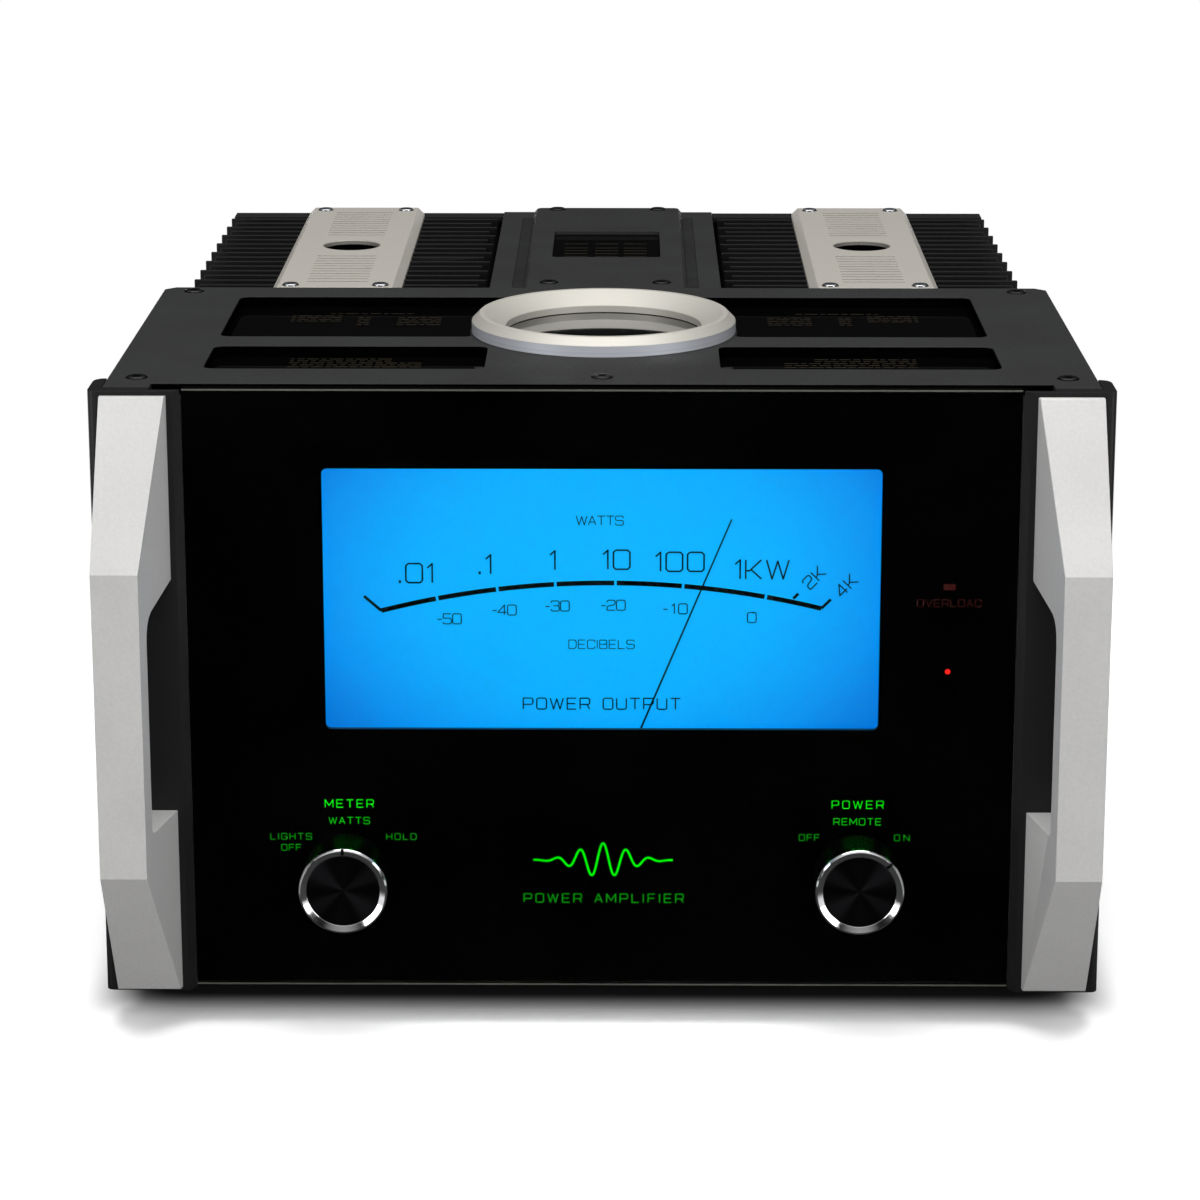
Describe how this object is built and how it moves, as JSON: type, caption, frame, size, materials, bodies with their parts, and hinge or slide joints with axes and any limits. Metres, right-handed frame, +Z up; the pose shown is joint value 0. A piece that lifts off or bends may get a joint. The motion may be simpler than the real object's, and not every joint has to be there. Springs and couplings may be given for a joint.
{
  "type": "power amplifier",
  "caption": "Mono audio power amplifier with a lit output meter behind glass, two faceted front handles, finned heat-sink banks and a glazed top cover.",
  "frame": {"origin": "on the floor under the middle of the part's bounding box, between its handles and its rear terminals", "axes": "+X to the viewer's right, +Y to the rear, +Z up"},
  "size_m": [0.4444, 0.5364, 0.3023],
  "materials": {
    "black_paint": "semi-gloss black paint on sheet steel",
    "black_anodised": "satin black anodised aluminium",
    "cover_paint": "satin charcoal powder coat on aluminium plate",
    "silver_powder": "satin silver, finely grained",
    "warm_silver": "satin warm silver anodised",
    "brushed_silver": "turned and brushed aluminium, warm silver",
    "chrome_trim": "polished trim ring",
    "knob_black": "black anodised, face spun",
    "clear_glass": "clear polished glass over a black interior",
    "black_print": "opaque black ink printed behind the glass",
    "dial_blue": "back-lit translucent dial",
    "light_guide": "clear acrylic light guide",
    "needle_black": "matt black needle",
    "steel_parts": "machined steel",
    "foot_rubber": "black rubber",
    "circuit_board": "green glass-fibre board",
    "can_sleeve": "dark plastic sleeve",
    "contact_plastic": "black moulded plastic",
    "gold_plate": "gold-plated brass"
  },
  "bodies": {
    "chassis": {"base_tray": "black_paint", "side_panel_left": "black_paint", "side_panel_right": "black_paint", "bulkhead": "black_paint", "meter_housing": "black_paint", "power_transformer": "black_paint", "output_transformer": "black_paint", "rear_panel": "black_paint", "end_cap_left": "black_anodised", "end_cap_right": "black_anodised", "front_subpanel": "black_anodised", "heat_sink_outer_left": "black_anodised", "heat_sink_inner_left": "black_anodised", "heat_sink_outer_right": "black_anodised", "heat_sink_inner_right": "black_anodised", "top_cover": "cover_paint", "rear_deck": "cover_paint", "spine_cover": "cover_paint", "handle_left": "silver_powder", "handle_right": "silver_powder", "heat_sink_cap_left": "warm_silver", "heat_sink_cap_right": "warm_silver", "bezel_ring": "brushed_silver", "front_glass": "clear_glass", "bezel_disc": "clear_glass", "window_pane_left": "clear_glass", "window_pane_right": "clear_glass", "spine_pane": "clear_glass", "glass_print": "black_print", "meter_dial": "dial_blue", "meter_light_guide": "light_guide", "meter_movement": "steel_parts", "remote_jack": "steel_parts", "foot_front_left": "foot_rubber", "foot_rear_left": "foot_rubber", "foot_front_right": "foot_rubber", "foot_rear_right": "foot_rubber", "indicator_board": "circuit_board", "output_stage_left": "circuit_board", "output_stage_right": "circuit_board", "control_board": "circuit_board", "filter_capacitor_left": "can_sleeve", "filter_capacitor_right": "can_sleeve", "meter_switch": "contact_plastic", "power_switch": "contact_plastic", "power_inlet": "contact_plastic", "balanced_input": "contact_plastic", "terminal_block": "contact_plastic", "unbalanced_input": "gold_plate"},
    "pointer": {"meter_pointer": "needle_black"},
    "meter_selector": {"meter_knob": "knob_black", "meter_knob_ring": "chrome_trim", "meter_shaft": "steel_parts"},
    "power_selector": {"power_knob": "knob_black", "power_knob_ring": "chrome_trim", "power_shaft": "steel_parts"},
    "terminal_1": {"terminal_cap_1": "gold_plate"},
    "terminal_2": {"terminal_cap_2": "gold_plate"},
    "terminal_3": {"terminal_cap_3": "gold_plate"},
    "terminal_4": {"terminal_cap_4": "gold_plate"}
  },
  "joints": [
    {"name": "pointer_swing", "type": "hinge", "parent": "chassis", "child": "pointer", "pos_m": [0, -0.2106, 0.0951], "axis": [0, 1, 0], "range_deg": [-69.4, 24.6]},
    {"name": "meter_knob_turn", "type": "hinge", "parent": "chassis", "child": "meter_selector", "pos_m": [-0.11365, -0.23, 0.0726], "axis": [0, 1, 0], "range_deg": [-46, 46]},
    {"name": "power_knob_turn", "type": "hinge", "parent": "chassis", "child": "power_selector", "pos_m": [0.11365, -0.23, 0.0726], "axis": [0, 1, 0], "range_deg": [-92, 0]},
    {"name": "terminal_1_turn", "type": "hinge", "parent": "chassis", "child": "terminal_1", "pos_m": [-0.036, 0.2608, 0.141], "axis": [0, 1, 0], "range_deg": [-720, 720]},
    {"name": "terminal_2_turn", "type": "hinge", "parent": "chassis", "child": "terminal_2", "pos_m": [-0.012, 0.2608, 0.141], "axis": [0, 1, 0], "range_deg": [-720, 720]},
    {"name": "terminal_3_turn", "type": "hinge", "parent": "chassis", "child": "terminal_3", "pos_m": [0.012, 0.2608, 0.141], "axis": [0, 1, 0], "range_deg": [-720, 720]},
    {"name": "terminal_4_turn", "type": "hinge", "parent": "chassis", "child": "terminal_4", "pos_m": [0.036, 0.2608, 0.141], "axis": [0, 1, 0], "range_deg": [-720, 720]}
  ]
}
